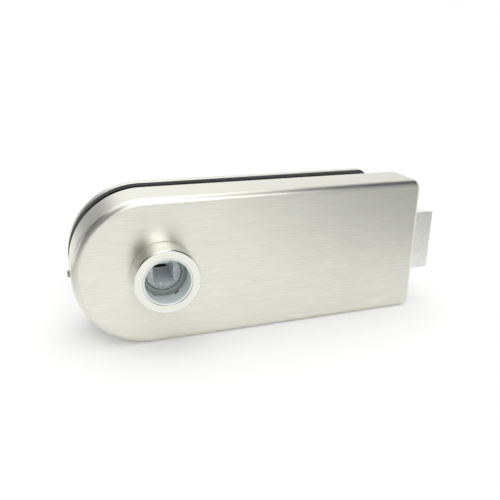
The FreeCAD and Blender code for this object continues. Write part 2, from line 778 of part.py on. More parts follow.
def follower():
    """The hub that the square spindle turns, with a journal, a boss and two horns."""
    parts = [
        cylinder_out("follower_journal", "journal_radius", f"{PLATE_TOP} - journal_length", CARRIAGE_BACK),
        cylinder_out("follower_hub", "hub_radius", CARRIAGE_BACK, f"{CAP_BACK} - end_play"),
        cylinder_out("follower_boss", "boss_radius", f"{CAP_BACK} - end_play", f"{FACE} - boss_sunk"),
    ]
    upper = horn_shape()
    lower = upper.mirror(FreeCAD.Vector(), FreeCAD.Vector(0, 0, 1))
    for number, shape in enumerate((upper, lower), 1):
        horn = doc.addObject("Part::Feature", f"follower_horn_{number}")
        horn.Shape = shape
        at_place(horn, "0", TAIL_BACK, "0")
        parts.append(horn)
    joined = doc.addObject("Part::MultiFuse", "follower_solid")
    joined.Shapes = parts
    square = doc.addObject("Part::Box", "follower_square")
    bind(square, "Length", "spindle_square")
    bind(square, "Height", "spindle_square")
    bind(square, "Width", f"{FACE} - {PLATE_BACK}")
    at_place(square, "0 - spindle_square / 2", FACE, "0 - spindle_square / 2")
    piece = doc.addObject("Part::Cut", "follower")
    piece.Base = joined
    piece.Tool = square
    return piece


def carriage():
    """The sliding fork: two lugs before the horns, a bar with slots for the return spring and the pin."""
    body = new_body("carriage")
    sketch = face_sketch(body, CARRIAGE_BACK)
    fork = [(FORK_LEFT, PRONG_OUTER), (FORK_END, PRONG_OUTER)]
    outer = fork + [(BAR_START, "bar_half"), (BAR_END, "bar_half")]
    inner = [(FORK_LEFT, PRONG_INNER), (FORK_END, PRONG_INNER)]
    below = [(x, f"0 - {z}") for x, z in outer[::-1]]
    hollow = [(x, f"0 - {z}") for x, z in inner] + inner[::-1]
    polygon(sketch, outer + below + hollow)
    pad(body, sketch, "carriage_thick")

    def is_fork_corner(edge):
        box = edge.BoundBox
        upright = box.YLength > SAME and box.XLength < SAME
        wide = abs(abs(box.ZMin) - value(PRONG_OUTER)) < SAME
        return upright and wide and abs(box.XMin - value(FORK_END)) < SAME

    dress(body, "Fillet", "Radius", "fork_round", is_fork_corner)
    lug = (FORK_LEFT, f"{FORK_LEFT} + lug_width")
    lug_inner = f"({BASE_RADIUS} - lug_below)"
    for side in (1, -1):
        lug_z = on_side(side, lug_inner, PRONG_OUTER)
        add_block(body, CARRIAGE_TOP, f"{HORN_TOP} - {CARRIAGE_TOP}", lug, lug_z)
    cut_block(body, CARRIAGE_BACK, "carriage_thick", (SPRING_SLOT, SPRING_SLOT_END), both(SLOT_HALF))
    slot_end = f"{PIN_X} + {SLOT_HALF}"
    cut_block(body, CARRIAGE_BACK, "carriage_thick", (PIN_SLOT, slot_end), both(SLOT_HALF))
    return body


def carriage_rails():
    """Two lipped rails on the base plate, which the carriage's bar slides between."""
    made = []
    inner = "(bar_half + slide_gap)"
    for number, side in enumerate((1, -1), 1):
        rail = new_body(f"carriage_rail_{number}")
        sketch = side_sketch(rail, f"{BAR_START} + slot_play")
        section = [
            (PLATE_TOP, inner),
            (PLATE_TOP, f"({inner} + rail_width)"),
            (LIP_TOP, f"({inner} + rail_width)"),
            (LIP_TOP, f"({inner} - rail_overlap)"),
            (LIP_BACK, f"({inner} - rail_overlap)"),
            (LIP_BACK, inner),
        ]
        polygon(sketch, [(f"0 - ({out})", f"{side} * {z}") for out, z in section])
        pad(rail, sketch, "rail_length")
        made.append(rail)
    return made


def return_spring():
    """The spring that pushes the carriage back to rest from the base plate's tab."""
    inner = f"({RETURN_RADIUS} - return_wire)"
    start = f"{TAB_X} + tab_thick"
    return tube_along_x("return_spring", start, SPRING_SLOT_END, RETURN_RADIUS, inner, RETURN_OUT, "0")


def spring_carrier():
    """A plate that saddles the carriage's bar and lets the bolt's tail by, with a stub for each spring."""
    carrier = new_body("spring_carrier")
    sketch = side_sketch(carrier, CARRIER_X)
    top = f"({BOLT_TOP} - slide_gap)"
    saddle = "bar_half + seat_fit"
    way = "tail_half + slide_gap"
    half = [
        (CARRIAGE_TOP, saddle),
        (CARRIAGE_BACK, saddle),
        (CARRIAGE_BACK, "carrier_half"),
        (top, "carrier_half"),
        (top, way),
        (LIP_TOP, way),
    ]
    corners = half + [(out, f"0 - ({z})") for out, z in half[::-1]]
    polygon(sketch, [(f"0 - ({out})", z) for out, z in corners])
    pad(carrier, sketch, "carrier_thick")
    front = f"({CARRIER_X} + carrier_thick)"
    sketch = side_sketch(carrier, front)
    for side in (1, -1):
        out_range = about(f"0 - {SPRING_OUT}", "stub_half")
        rectangle(sketch, out_range, on_side(side, *about("bolt_spring_z", "stub_half")))
    pad(carrier, sketch, "stub_length")
    made = [carrier]
    for number, side in enumerate((1, -1), 1):
        inner = "(bolt_spring_radius - bolt_spring_wire)"
        spring = (front, POCKET_END, "bolt_spring_radius", inner, SPRING_OUT, f"{side} * bolt_spring_z")
        made.append(tube_along_x(f"bolt_spring_{number}", *spring))
    return made


def latch_bolt():
    """The bolt's head: bevelled towards the strike at the back, pocketed for its springs and its tail."""
    head = new_body("latch_bolt")
    sketch = new_sketch(head, "XY_Plane", "0 - bolt_height / 2")
    corners = [
        (BOLT_REAR, BOLT_TOP),
        (BOLT_REAR, BOLT_BACK),
        (RIGHT, BOLT_BACK),
        (BOLT_END, f"({BOLT_TOP} - bolt_tip)"),
        (BOLT_END, BOLT_TOP),
    ]
    polygon(sketch, [(x, f"0 - {out}") for x, out in corners])
    pad(head, sketch, "bolt_height")

    def is_tip(edge):
        return abs(edge.BoundBox.XMin - value(BOLT_END)) < SAME

    dress(head, "Fillet", "Radius", "bolt_round", is_tip)
    socket = f"({TAIL_BACK} - seat_fit)"
    depth = f"{BOLT_TOP} - {socket}"
    cut_block(head, socket, depth, (BOLT_REAR, NECK_END), both("tail_neck + seat_fit"))
    cut_block(head, socket, depth, (NECK_END, f"{BOLT_REAR} + tail_socket"), both("tail_half + seat_fit"))
    sketch = side_sketch(head, BOLT_REAR)
    for side in (1, -1):
        few_sided(sketch, f"0 - {SPRING_OUT}", f"{side} * bolt_spring_z", f"spring_pocket_radius / {FLAT}")
    pocket(head, sketch, "spring_pocket_depth")
    return head


def bolt_tail():
    """The strip that carries the drive pin, with a T end that hooks into the bolt's head."""
    tail = new_body("bolt_tail")
    sketch = face_sketch(tail, TAIL_BACK)
    upper = [
        (TAIL_REAR, "tail_half"),
        (BOLT_REAR, "tail_half"),
        (BOLT_REAR, "tail_neck"),
        (NECK_END, "tail_neck"),
        (NECK_END, "tail_half"),
        (f"{BOLT_REAR} + tail_socket", "tail_half"),
    ]
    polygon(sketch, upper + [(x, f"0 - {z}") for x, z in upper[::-1]])
    pad(tail, sketch, "tail_thick")

    def is_rear_corner(edge):
        box = edge.BoundBox
        return box.YLength > SAME and box.ZLength < SAME and abs(box.XMax - value(TAIL_REAR)) < SAME

    dress(tail, "Fillet", "Radius", "tail_round", is_rear_corner)
    pin_end = f"({CARRIAGE_BACK} + slide_gap)"
    sketch = face_sketch(tail, pin_end)
    circle(sketch, PIN_X, "0", "drive_pin_radius")
    pad(tail, sketch, f"{TAIL_BACK} - {pin_end}")
    return tail


pieces = [
    front_cover(),
    back_cover(),
    base_plate(),
    counter_plate(),
    gasket("front_gasket", RIM),
    gasket("back_gasket", f"0 - {PLATE_BACK}", BACK_RIGHT),
    collar("front_collar", FACE, 1, "front_wall"),
    collar("back_collar", BACK_FACE, -1, "back_wall"),
    liner("front_liner", FACE, 1),
    liner("back_liner", BACK_FACE, -1),
    cap_plate(),
    bolt_guide(),
    *clamps(),
    cover_screw(),
    *cover_clips(),
    *carriage_rails(),
    return_spring(),
    follower(),
    carriage(),
    *spring_carrier(),
    latch_bolt(),
    bolt_tail(),
]
doc.recompute()

for thing in doc.Objects:
    if "Invalid" in thing.State or "Error" in thing.State:
        raise ValueError(f"{thing.Label} failed: {thing.State}")
for piece in pieces:
    if piece.Shape.isNull() or not piece.Shape.isValid() or len(piece.Shape.Solids) != 1:
        raise ValueError(f"{piece.Label} is not one sound solid")

os.makedirs("parts", exist_ok=True)
for piece in pieces:
    piece.Shape.exportStep(f"parts/{piece.Label}.step")
print(f"{len(pieces)} pieces")
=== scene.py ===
import json
import math

import bmesh
import bpy
from mathutils import Matrix, Vector


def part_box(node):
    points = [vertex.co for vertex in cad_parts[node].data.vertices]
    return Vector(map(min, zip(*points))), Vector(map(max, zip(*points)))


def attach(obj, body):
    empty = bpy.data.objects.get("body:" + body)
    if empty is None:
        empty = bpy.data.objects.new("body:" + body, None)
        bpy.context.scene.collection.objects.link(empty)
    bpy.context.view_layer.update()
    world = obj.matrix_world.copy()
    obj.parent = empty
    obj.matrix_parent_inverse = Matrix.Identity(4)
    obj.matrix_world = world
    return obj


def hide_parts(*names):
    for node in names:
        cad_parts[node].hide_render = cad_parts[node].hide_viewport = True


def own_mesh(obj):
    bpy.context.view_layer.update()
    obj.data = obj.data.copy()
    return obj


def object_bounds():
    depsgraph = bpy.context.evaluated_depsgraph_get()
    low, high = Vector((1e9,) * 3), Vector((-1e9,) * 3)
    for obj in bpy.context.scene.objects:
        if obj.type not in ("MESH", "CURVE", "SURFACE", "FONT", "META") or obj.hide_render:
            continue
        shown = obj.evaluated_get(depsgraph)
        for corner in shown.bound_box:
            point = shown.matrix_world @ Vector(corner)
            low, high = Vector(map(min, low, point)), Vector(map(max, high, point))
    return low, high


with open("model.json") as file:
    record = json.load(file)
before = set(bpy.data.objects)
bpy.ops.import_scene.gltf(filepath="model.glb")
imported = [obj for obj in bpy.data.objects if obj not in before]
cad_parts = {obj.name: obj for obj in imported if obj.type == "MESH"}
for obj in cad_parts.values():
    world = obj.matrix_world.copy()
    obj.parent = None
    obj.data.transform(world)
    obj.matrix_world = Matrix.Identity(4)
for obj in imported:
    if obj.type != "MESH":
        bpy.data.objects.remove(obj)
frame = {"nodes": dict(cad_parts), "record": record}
CAD_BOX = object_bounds()

bl_info = {
    "name": "Glass Door Latch",
    "version": (1, 0, 0),
    "blender": (4, 5, 0),
    "location": "View3D > Sidebar > Latch",
    "description": "Dresses a glass door latch: brushed covers, turned collars, coils and threads",
    "category": "Object",
}

# Blender works in metres, and the sizes below are written in millimetres.
MM = 0.001
BODIES = frame["record"]["behaviour"]["bodies"]

# How finely the round forms are made.
ROUND_END_STEPS = 96
CORNER_STEPS = 16
EDGE_STEPS = 8
TURNED_STEPS = 144
SCREW_STEPS = 48
COIL_STEPS = 24
WIRE_STEPS = 10
ARC_STEPS = 5
EASE_STEPS = 3
# Edges that turn by more than this stay sharp, and facets that turn by less than this are one face.
SHARP = math.radians(38)
FLAT = math.radians(0.5)
# Two points nearer than this are one. The frame's own points are less exact.
SAME = 1e-7
SAME_IN_FRAME = SAME * 10
# A rounding takes at most this share of an edge, and the straight is pinned this much past it.
MOST_OF_EDGE = 0.3
PIN_REACH = 1.5
# A face of a cover looks along an axis where this much of its normal does.
FACING = 0.7
# Cutters reach this far past what they cut.
CUT_PAST = 1 * MM


def low(node, axis):
    """Returns where a node of the frame starts along X, Y or Z."""
    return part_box(node)[0]["XYZ".index(axis)]


def high(node, axis):
    """Returns where a node of the frame ends along X, Y or Z."""
    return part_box(node)[1]["XYZ".index(axis)]


def body_with(node):
    """Returns the body that a node of the frame belongs to."""
    return next(body for body, nodes in BODIES.items() if node in nodes)


# ---------------------------------------------------------------- sizes and colours

def length(name, description, size, least=0.01, most=60):
    """A size in millimetres that a user may change."""
    return bpy.props.FloatProperty(name=name, description=description, default=size * MM,
                                   min=least * MM, max=most * MM, precision=5,
                                   subtype="DISTANCE", unit="LENGTH")


def colour(name, description, shade):
    """A colour that a user may change."""
    return bpy.props.FloatVectorProperty(name=name, description=description, default=shade,
                                         size=3, min=0, max=1, subtype="COLOR")


class LatchSizes(bpy.types.PropertyGroup):
    """Sizes that the frame's boxes don't give."""
    corner_radius: length("Corner radius", "Radius of the covers' two right corners", 4.5)
    edge_round: length("Edge rounding", "Radius of the edge round the front cover's face", 3)
    back_edge_round: length("Back edge rounding", "Radius of the edge round the back cover's face", 1.5)
    cover_wall: length("Cover wall", "Thickness of the covers' sides", 1.5)
    front_wall: length("Front wall", "Thickness of the front cover's face", 1.6)
    rim_bevel: length("Rim bevel", "Bevel on the covers' open rims", 0.15)
    window_gap: length("Window gap", "Gap between the bolt and its window", 0.3)
    spigot_radius: length("Spigot radius", "Radius of a collar's spigot, pressed into the cover", 9)
    collar_bore: length("Collar bore", "Radius of the collars' bore", 9.8)
    collar_throat: length("Collar throat", "Radius of the opening round the follower", 7.4)
    collar_ledge: length("Collar ledge", "Height of the ledge in a collar above the cover's face", 0.2)
    collar_chamfer: length("Collar chamfer", "Bevel round a collar's outer edge", 0.4)
    collar_relief: length("Collar relief", "Small groove round a collar where it meets its cover", 0.3)
    half_square: length("Half square", "Half the follower's square hole, with its eased edge", 4.3)
    turned_round: length("Turned rounding", "Rounding of the collars' turned edges", 0.25)
    return_wire: length("Return spring wire", "Diameter of the return spring's wire", 0.7)
    bolt_wire: length("Bolt spring wire", "Diameter of the bolt springs' wire", 0.6)
    clamp_thread: length("Clamp thread radius", "Outer radius of the clamp screws' thread", 2.45)
    clamp_pitch: length("Clamp thread pitch", "Pitch of the clamp screws' thread", 0.8)
    clamp_head: length("Clamp head height", "Height of the clamp screws' heads", 2)
    set_pitch: length("Set screw pitch", "Pitch of the set screw's thread", 0.5)
    sleeve_bore: length("Sleeve bore", "Radius of the hole through a nylon sleeve", 2.55)


class LatchColours(bpy.types.PropertyGroup):
    """Colours of the finishes."""
    cover: colour("Covers", "Warm light grey of the brushed covers", (0.85, 0.85, 0.765))
    cover_dark: colour("Covers, streaks", "Darker streaks of the brushing", (0.71, 0.71, 0.64))
    # The rims' dark grey is partly the dull cut metal and partly painted shade for the gap between the
    # covers.
    rim: colour("Cover rims", "Dull grey of the covers' cut rims", (0.20, 0.205, 0.21))
    collar_inside: colour("Collar inside", "Dull ledge and throat of the collars", (0.50, 0.56, 0.53))
    # Painted shade: the bore's near black stands for the shade behind the liners.
    collar_bore: colour("Collar bore", "Dark bore behind the liners", (0.035, 0.04, 0.038))
    collar: colour("Collars", "Near white of the turned collars", (0.87, 0.875, 0.80))
    liner: colour("Liners", "Pale blue-grey plastic", (0.74, 0.81, 0.80))
    rubber: colour("Gaskets", "Black rubber", (0.018, 0.018, 0.02))
    sleeve: colour("Sleeves", "Natural nylon", (0.80, 0.78, 0.72))
    guide: colour("Guide and rails", "Black nylon", (0.045, 0.045, 0.047))
    plate: colour("Plates", "Zinc-plated sheet steel", (0.56, 0.57, 0.58))
    # Painted light: the square's near-white, bluish tint stands for light coming through the hole.
    square_painted_light: colour("Broached square", "Bright cut metal of the follower's square", (0.90, 0.96, 1.0))
    zinc: colour("Follower", "Rough cast zinc", (0.76, 0.81, 0.82))
    bolt: colour("Bolt", "Satin warm grey", (0.92, 0.92, 0.87))
    spring: colour("Springs", "Drawn spring steel", (0.36, 0.36, 0.37))
    dark_screw: colour("Set screw", "Grey steel", (0.36, 0.36, 0.36))
    screw: colour("Clamp screws", "Zinc-plated screws", (0.63, 0.63, 0.62))


# ---------------------------------------------------------------- meshes

def finish_mesh(form, name):
    """Closes a bmesh into a mesh with smooth faces and sharp edges where it turns sharply."""
    bmesh.ops.remove_doubles(form, verts=form.verts, dist=SAME)
    bmesh.ops.recalc_face_normals(form, faces=form.faces)
    mesh = bpy.data.meshes.new(name)
    form.to_mesh(mesh)
    form.free()
    mesh.shade_smooth()
    mesh.set_sharp_from_angle(angle=SHARP)
    return mesh


def bridge(form, first, second):
    """Joins two closed rings of the same number of points by faces."""
    count = len(first)
    for number in range(count):
        after = (number + 1) % count
        form.faces.new((first[number], first[after], second[after], second[number]))


def ring_edges(form, ring):
    """Returns the edges round a closed ring."""
    pairs = [(ring[number - 1], ring[number]) for number in range(len(ring))]
    return [form.edges.get(pair) or form.edges.new(pair) for pair in pairs]


def softened(corners, radius):
    """Rounds each corner of a closed outline, with a point on each side that pins the straights."""
    points = []
    for number, corner in enumerate(corners):
        here = Vector(corner)
        before = Vector(corners[number - 1]) - here
        after = Vector(corners[(number + 1) % len(corners)]) - here
        reach = min(radius, before.length * MOST_OF_EDGE, after.length * MOST_OF_EDGE)
        start = before.normalized() * reach
        end = after.normalized() * reach
        points.append(here + start * PIN_REACH)
        for step in range(ARC_STEPS + 1):
            part = step / ARC_STEPS
            points.append(here + start * (1 - part) ** 2 + end * part ** 2)
        points.append(here + end * PIN_REACH)
    return [tuple(point) for point in points]


def turned_mesh(name, rows, axis, centre, steps, closed):
    """Turns rows of place and radius about an axis. A radius may depend on the angle."""
    form = bmesh.new()
    rings = []
    for along, radius in rows:
        ring = []
        for step in range(steps):
            angle = 2 * math.pi * step / steps
            size = radius(angle) if callable(radius) else radius
            across = size * math.cos(angle)
            up = size * math.sin(angle)
            place = Vector((along, across, up)) if axis == "X" else Vector((across, along, up))
            ring.append(form.verts.new(place + centre))
        rings.append(ring)
    for first, second in zip(rings, rings[1:]):
        bridge(form, first, second)
    if closed:
        bridge(form, rings[-1], rings[0])
    return finish_mesh(form, name)


def new_piece(name, mesh, node, slot):
    """Adds a piece that stands for a CAD node, moves with its body and has the slot's finish."""
    piece = bpy.data.objects.new(name, mesh)
    bpy.context.scene.collection.objects.link(piece)
    mesh.materials.clear()
    mesh.materials.append(finish_of(slot))
    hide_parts(node)
    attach(piece, body_with(node))
    return piece


def evaluated(piece):
    """Returns the mesh that a piece has with its modifiers."""
    ready = piece.evaluated_get(bpy.context.evaluated_depsgraph_get())
    return bpy.data.meshes.new_from_object(ready)


def with_modifiers(mesh, add):
    """Returns a mesh after the modifiers that a function adds to it."""
    worker = bpy.data.objects.new("worker", mesh)
    bpy.context.scene.collection.objects.link(worker)
    add(worker)
    bpy.context.view_layer.update()
    result = evaluated(worker)
    bpy.data.objects.remove(worker)
    return result


def eased_mesh(node, width):
    """Copies a CAD node's form, joins its flat facets and rounds its edges a little."""
    form = bmesh.new()
    form.from_mesh(frame["nodes"][node].data)
    bmesh.ops.remove_doubles(form, verts=form.verts, dist=SAME_IN_FRAME)
    bmesh.ops.dissolve_limit(form, angle_limit=FLAT, verts=form.verts, edges=form.edges)
    mesh = finish_mesh(form, f"{node}_eased")

    def add(worker):
        bevel = worker.modifiers.new("eased edges", "BEVEL")
        bevel.width = width
        bevel.segments = EASE_STEPS
        bevel.limit_method = "ANGLE"
        bevel.angle_limit = SHARP
        bevel.harden_normals = True

    return with_modifiers(mesh, add)


def cut_mesh(mesh, cutters):
    """Cuts meshes out of a mesh."""
    tools = []
    for number, cutter in enumerate(cutters):
        tool = bpy.data.objects.new(f"cutter_{number}", cutter)
        bpy.context.scene.collection.objects.link(tool)
        tools.append(tool)

    def add(worker):
        for tool in tools:
            cut = worker.modifiers.new("cut", "BOOLEAN")
            cut.operation = "DIFFERENCE"
            cut.solver = "EXACT"
            cut.object = tool

    result = with_modifiers(mesh, add)
    for tool in tools:
        bpy.data.objects.remove(tool)
    result.shade_smooth()
    result.set_sharp_from_angle(angle=SHARP)
    return result


def block_mesh(lowest, highest):
    """Makes a block between two corners."""
    form = bmesh.new()
    middle = (Vector(lowest) + Vector(highest)) / 2
    spread = Vector(highest) - Vector(lowest)
    place = Matrix.Translation(middle) @ Matrix.Diagonal((*spread, 1))
    bmesh.ops.create_cube(form, size=1, matrix=place)
    return finish_mesh(form, "block")


def lay_brush(mesh):
    """Lays UVs whose first direction is the way of the brushing: along X, or up on the two ends."""
    layer = mesh.uv_layers.active or mesh.uv_layers.new(name="brushing")
    for face in mesh.polygons:
        for corner in face.loop_indices:
            point = mesh.vertices[mesh.loops[corner].vertex_index].co
            if abs(face.normal.x) > FACING:
                layer.data[corner].uv = (point.z, point.y)
            elif abs(face.normal.y) > FACING:
                layer.data[corner].uv = (point.x, point.z)
            else:
                layer.data[corner].uv = (point.x, point.y)


# ---------------------------------------------------------------- effects that materials share

# Most values of a noise lie between these two.
NOISE_LOW, NOISE_HIGH = 0.3, 0.7
# The Mix node's sockets for colours, which share their names with those for numbers.
FIRST_COLOUR, SECOND_COLOUR, MIXED_COLOUR = 6, 7, 2


def new_effect(name, inputs):
    """Starts a node group with number inputs and one mask output."""
    group = bpy.data.node_groups.new(name, "ShaderNodeTree")
    for label, default in inputs:
        socket = group.interface.new_socket(name=label, in_out="INPUT", socket_type="NodeSocketFloat")
        socket.default_value = default
    group.interface.new_socket(name="Mask", in_out="OUTPUT", socket_type="NodeSocketFloat")
    return group, group.nodes.new("NodeGroupInput"), group.nodes.new("NodeGroupOutput")


def add_math(tree, operation, *values):
    """Adds a Math node whose inputs are numbers or sockets, and returns its output."""
    node = tree.nodes.new("ShaderNodeMath")
    node.operation = operation
    for socket, given in zip(node.inputs, values):
        if isinstance(given, (int, float)):
            socket.default_value = given
        else:
            tree.links.new(given, socket)
    return node.outputs[0]


def add_noise(tree, place, scale, detail, roughness=0.5):
    """Adds a noise at a place and returns its value."""
    noise = tree.nodes.new("ShaderNodeTexNoise")
    noise.inputs["Scale"].default_value = scale
    noise.inputs["Detail"].default_value = detail
    noise.inputs["Roughness"].default_value = roughness
    tree.links.new(place, noise.inputs["Vector"])
    return noise.outputs[0]


def brushing_effect():
    """Fine straight streaks along X, from their length and width in millimetres."""
    group, given, result = new_effect("brushing", [("Length", 12), ("Width", 0.35)])
    place = group.nodes.new("ShaderNodeTexCoord").outputs["Object"]
    apart = group.nodes.new("ShaderNodeSeparateXYZ")
    group.links.new(place, apart.inputs[0])
    joined = group.nodes.new("ShaderNodeCombineXYZ")
    for axis, size in (("X", "Length"), ("Y", "Width"), ("Z", "Width")):
        step = add_math(group, "MULTIPLY", given.outputs[size], MM)
        group.links.new(add_math(group, "DIVIDE", apart.outputs[axis], step), joined.inputs[axis])
    noise = add_noise(group, joined.outputs[0], scale=1, detail=3, roughness=0.6)
    group.links.new(noise, result.inputs["Mask"])
    return group


def turning_effect():
    """Fine rings about the spindle's axis, from their spacing in millimetres."""
    group, given, result = new_effect("turning", [("Spacing", 0.25)])
    place = group.nodes.new("ShaderNodeTexCoord").outputs["Object"]
    apart = group.nodes.new("ShaderNodeSeparateXYZ")
    group.links.new(place, apart.inputs[0])
    across = add_math(group, "POWER", apart.outputs["X"], 2)
    up = add_math(group, "POWER", apart.outputs["Z"], 2)
    radius = add_math(group, "SQRT", add_math(group, "ADD", across, up))
    step = add_math(group, "MULTIPLY", given.outputs["Spacing"], MM)
    joined = group.nodes.new("ShaderNodeCombineXYZ")
    group.links.new(add_math(group, "DIVIDE", radius, step), joined.inputs["X"])
    group.links.new(add_math(group, "DIVIDE", apart.outputs["Y"], step), joined.inputs["Y"])
    noise = add_noise(group, joined.outputs[0], scale=1, detail=2)
    group.links.new(noise, result.inputs["Mask"])
    return group


def grain_effect():
    """Even grain, from its size in millimetres."""
    group, given, result = new_effect("grain", [("Size", 0.3)])
    place = group.nodes.new("ShaderNodeTexCoord").outputs["Object"]
    step = add_math(group, "MULTIPLY", given.outputs["Size"], MM)
    scaled = group.nodes.new("ShaderNodeVectorMath")
    scaled.operation = "SCALE"
    group.links.new(place, scaled.inputs[0])
    group.links.new(add_math(group, "DIVIDE", 1, step), scaled.inputs["Scale"])
    noise = add_noise(group, scaled.outputs[0], scale=1, detail=4, roughness=0.6)
    group.links.new(noise, result.inputs["Mask"])
    return group


EFFECTS = {"brushing": brushing_effect, "turning": turning_effect, "grain": grain_effect}


def effect(tree, name, **values):
    """Places a shared effect in a material with its own values, and returns its mask."""
    node = tree.nodes.new("ShaderNodeGroup")
    node.node_tree = bpy.data.node_groups.get(name) or EFFECTS[name]()
    for label, size in values.items():
        node.inputs[label].default_value = size
    return node.outputs["Mask"]


def span(tree, mask, start, end, low_to=0, high_to=1):
    """Spreads the part of a mask between start and end over a range."""
    node = tree.nodes.new("ShaderNodeMapRange")
    ends = {"From Min": start, "From Max": end, "To Min": low_to, "To Max": high_to}
    for label, size in ends.items():
        node.inputs[label].default_value = size
    tree.links.new(mask, node.inputs["Value"])
    return node.outputs["Result"]


def blend_colours(tree, mask, first, second):
    """Mixes two colours, or a socket and a colour, by a mask."""
    node = tree.nodes.new("ShaderNodeMix")
    node.data_type = "RGBA"
    tree.links.new(mask, node.inputs["Factor"])
    for number, given in ((FIRST_COLOUR, first), (SECOND_COLOUR, second)):
        socket = node.inputs[number]
        if isinstance(given, bpy.types.NodeSocket):
            tree.links.new(given, socket)
        else:
            socket.default_value = (*given, 1)
    return node.outputs[MIXED_COLOUR]


def new_finish(name, metallic):
    """Starts a material and returns it with its tree and its Principled shader."""
    paint = bpy.data.materials.new(name)
    paint.use_nodes = True
    tree = paint.node_tree
    shader = next(node for node in tree.nodes if node.type == "BSDF_PRINCIPLED")
    shader.inputs["Metallic"].default_value = metallic
    return paint, tree, shader


def add_bump(tree, shader, mask, distance, strength=0.5):
    """Raises a mask a little, in millimetres."""
    bump = tree.nodes.new("ShaderNodeBump")
    bump.inputs["Strength"].default_value = strength
    bump.inputs["Distance"].default_value = distance * MM
    tree.links.new(mask, bump.inputs["Height"])
    tree.links.new(bump.outputs["Normal"], shader.inputs["Normal"])


def shades(shade, darker):
    """Returns a colour and one of the same tint, darker for a factor under 1."""
    return tuple(shade), tuple(part * darker for part in shade)


# ---------------------------------------------------------------- materials
# Sizes that the materials give are in millimetres, such as a grain's size and a bump's distance.

# How far the covers' shine is stretched, and the quarter turn that stretches it across the brushing.
SHINE_STRETCH = 0.8
QUARTER_TURN = 0.25
# How much rougher the roughest spots of plastic and of metal are.
PLASTIC_SPREAD = 0.12
METAL_SPREAD = 0.14


def brushed_cover(colours):
    """Satin steel, brushed lengthwise, with faint soft smudges."""
    paint, tree, shader = new_finish("brushed_cover", metallic=1)
    streaks = effect(tree, "brushing", Length=8, Width=0.34)
    long_streaks = effect(tree, "brushing", Length=22, Width=0.7)
    smudges = effect(tree, "brushing", Length=26, Width=12)
    shade = colours.cover
    for marks, start, end, share in (
        (streaks, 0.35, 0.75, 0.7),
        (long_streaks, 0.52, 0.8, 0.5),
        (smudges, 0.5, 0.75, 0.2),
    ):
        mask = span(tree, marks, start, end, 0, share)
        shade = blend_colours(tree, mask, shade, colours.cover_dark)
    tree.links.new(shade, shader.inputs["Base Color"])
    rough = span(tree, streaks, NOISE_LOW, NOISE_HIGH, low_to=0.29, high_to=0.37)
    tree.links.new(rough, shader.inputs["Roughness"])
    shader.inputs["Anisotropic"].default_value = SHINE_STRETCH
    shader.inputs["Anisotropic Rotation"].default_value = QUARTER_TURN
    tangent = tree.nodes.new("ShaderNodeTangent")
    tangent.direction_type = "UV_MAP"
    tree.links.new(tangent.outputs[0], shader.inputs["Tangent"])
    add_bump(tree, shader, streaks, distance=0.004, strength=0.25)
    return paint


def cut_rim(colours):
    """Dull metal of the covers' cut rims, made dark grey as painted shade for the gap between the
    covers.
    """
    return worn_metal("cut_rim", colours.rim, grain_size=0.8, rough=0.5,
                      darker=0.75, depth=0.02, metallic=0.5)


def collar_metal(colours):
    """Bright satin metal with fine turned rings."""
    paint, tree, shader = new_finish("collar_metal", metallic=1)
    rings = effect(tree, "turning", Spacing=0.22)
    light, dark = shades(colours.collar, darker=0.84)
    shade = blend_colours(tree, span(tree, rings, 0.35, 0.7), light, dark)
    tree.links.new(shade, shader.inputs["Base Color"])
    rough = span(tree, rings, NOISE_LOW, NOISE_HIGH, low_to=0.16, high_to=0.24)
    tree.links.new(rough, shader.inputs["Roughness"])
    add_bump(tree, shader, rings, distance=0.004, strength=0.25)
    return paint


def collar_inside(colours):
    """Dull, unpolished metal inside the collars."""
    return worn_metal("collar_inside", colours.collar_inside, grain_size=0.9, rough=0.55,
                      darker=0.75, depth=0.03, metallic=0.35)


def collar_bore(colours):
    """Painted shade: near-black metal on the bore behind the liners, where shade falls."""
    return worn_metal("collar_bore", colours.collar_bore, grain_size=0.9, rough=0.6,
                      darker=0.75, depth=0.03, metallic=0.35)


def plain_plastic(name, shade, grain_size, rough, darker=0.88):
    """Plastic or rubber with a fine grain."""
    paint, tree, shader = new_finish(name, metallic=0)
    grain = effect(tree, "grain", Size=grain_size)
    light, dark = shades(shade, darker)
    mixed = blend_colours(tree, span(tree, grain, NOISE_LOW, NOISE_HIGH), light, dark)
    tree.links.new(mixed, shader.inputs["Base Color"])
    roughness = span(tree, grain, NOISE_LOW, NOISE_HIGH, rough, rough + PLASTIC_SPREAD)
    tree.links.new(roughness, shader.inputs["Roughness"])
    add_bump(tree, shader, grain, distance=0.01, strength=0.4)
    return paint


def liner_plastic(colours):
    """Smooth pale plastic."""
    return plain_plastic("liner_plastic", colours.liner, grain_size=1.2, rough=0.28, darker=0.93)


def gasket_rubber(colours):
    """Matt black rubber."""
    return plain_plastic("gasket_rubber", colours.rubber, grain_size=0.25, rough=0.72, darker=0.6)


def sleeve_nylon(colours):
    """Natural nylon."""
    return plain_plastic("sleeve_nylon", colours.sleeve, grain_size=0.8, rough=0.35)


def guide_nylon(colours):
    """Black nylon."""
    return plain_plastic("guide_nylon", colours.guide, grain_size=0.5, rough=0.45, darker=0.7)


def worn_metal(name, shade, grain_size, rough, darker, depth, streak=None, metallic=1):
    """Metal with a grain, and streaks along X where it was drawn or rolled."""
    paint, tree, shader = new_finish(name, metallic)
    grain = effect(tree, "grain", Size=grain_size)
    light, dark = shades(shade, darker)
    mixed = blend_colours(tree, span(tree, grain, NOISE_LOW, NOISE_HIGH), light, dark)
    if streak:
        lines = effect(tree, "brushing", Length=streak, Width=0.4)
        mixed = blend_colours(tree, span(tree, lines, 0.45, 0.8, 0, 0.4), mixed, dark)
    tree.links.new(mixed, shader.inputs["Base Color"])
    roughness = span(tree, grain, NOISE_LOW, NOISE_HIGH, rough, rough + METAL_SPREAD)
    tree.links.new(roughness, shader.inputs["Roughness"])
    add_bump(tree, shader, grain, depth)
    return paint


